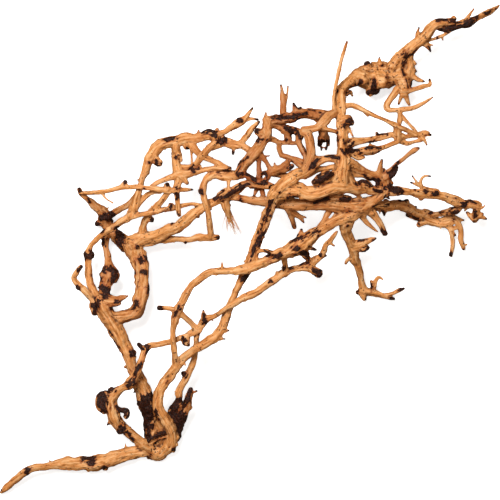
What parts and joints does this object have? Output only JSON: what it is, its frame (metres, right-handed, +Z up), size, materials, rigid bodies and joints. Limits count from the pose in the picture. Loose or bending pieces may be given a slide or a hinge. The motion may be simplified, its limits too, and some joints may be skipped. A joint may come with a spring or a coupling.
{
  "type": "driftwood branch",
  "caption": "Bare driftwood branch: a sprawling root mass of forked, crossing limbs with knots and dark bark remnants, lying on its side.",
  "frame": {"origin": "middle of the wood's outline seen from above, on the table plane that its lowest points rest on", "axes": "+Z up from the table; +X along the longest spread, from the long root's side towards the claw; +Y from the bent base knee towards the head"},
  "size_m": [0.4977, 0.4872, 0.0881],
  "materials": {
    "honey_wood": "bare, smooth worn wood, low satin",
    "amber_wood": "bare, redder worn wood with dark streaks, low satin",
    "bark": "rough dark bark"
  },
  "bodies": {
    "root": {"base_knee": "honey_wood", "long_root": "honey_wood", "left_trunk": "honey_wood", "stump": "amber_wood", "inner_root": "honey_wood", "rising_root": "honey_wood", "middle_root": "honey_wood", "centre_root": "honey_wood", "left_arm": "honey_wood", "arm_strut": "honey_wood", "fork_trunk": "honey_wood", "low_knuckle": "amber_wood", "loop_limb": "honey_wood", "elbow_limb": "honey_wood", "knob_limb": "amber_wood", "arch_limb": "honey_wood", "arch_top": "honey_wood", "long_twig": "honey_wood", "side_twig": "honey_wood", "diagonal_twig": "honey_wood", "left_limb": "honey_wood", "lower_fork": "honey_wood", "cross_limb": "honey_wood", "upper_left_twig": "honey_wood", "hanging_limb": "honey_wood", "crossing_twigs": "honey_wood", "top_fork": "honey_wood", "top_prong": "honey_wood", "curved_limb": "honey_wood", "dark_limb": "amber_wood", "lattice": "amber_wood", "dark_tangle": "bark", "stub_limb": "honey_wood", "split_limb": "honey_wood", "ragged_cup": "amber_wood", "column": "honey_wood", "head": "honey_wood", "long_arm": "honey_wood", "arm_tip": "honey_wood", "arm_strut_right": "honey_wood", "head_fork": "honey_wood", "upright_stick": "honey_wood", "thin_branch": "honey_wood", "bundle_upper": "honey_wood", "bundle_lower": "honey_wood", "bark_limb": "honey_wood", "crown_limb": "honey_wood", "roof_limb": "honey_wood", "lower_limb": "amber_wood", "star_joint": "honey_wood", "long_branch": "honey_wood", "lower_branch": "honey_wood", "bridge_branch": "honey_wood", "foot_limb": "honey_wood", "foot": "honey_wood", "right_arm": "honey_wood", "lower_arm": "honey_wood", "claw": "honey_wood", "claw_toes": "honey_wood"}
  },
  "joints": []
}
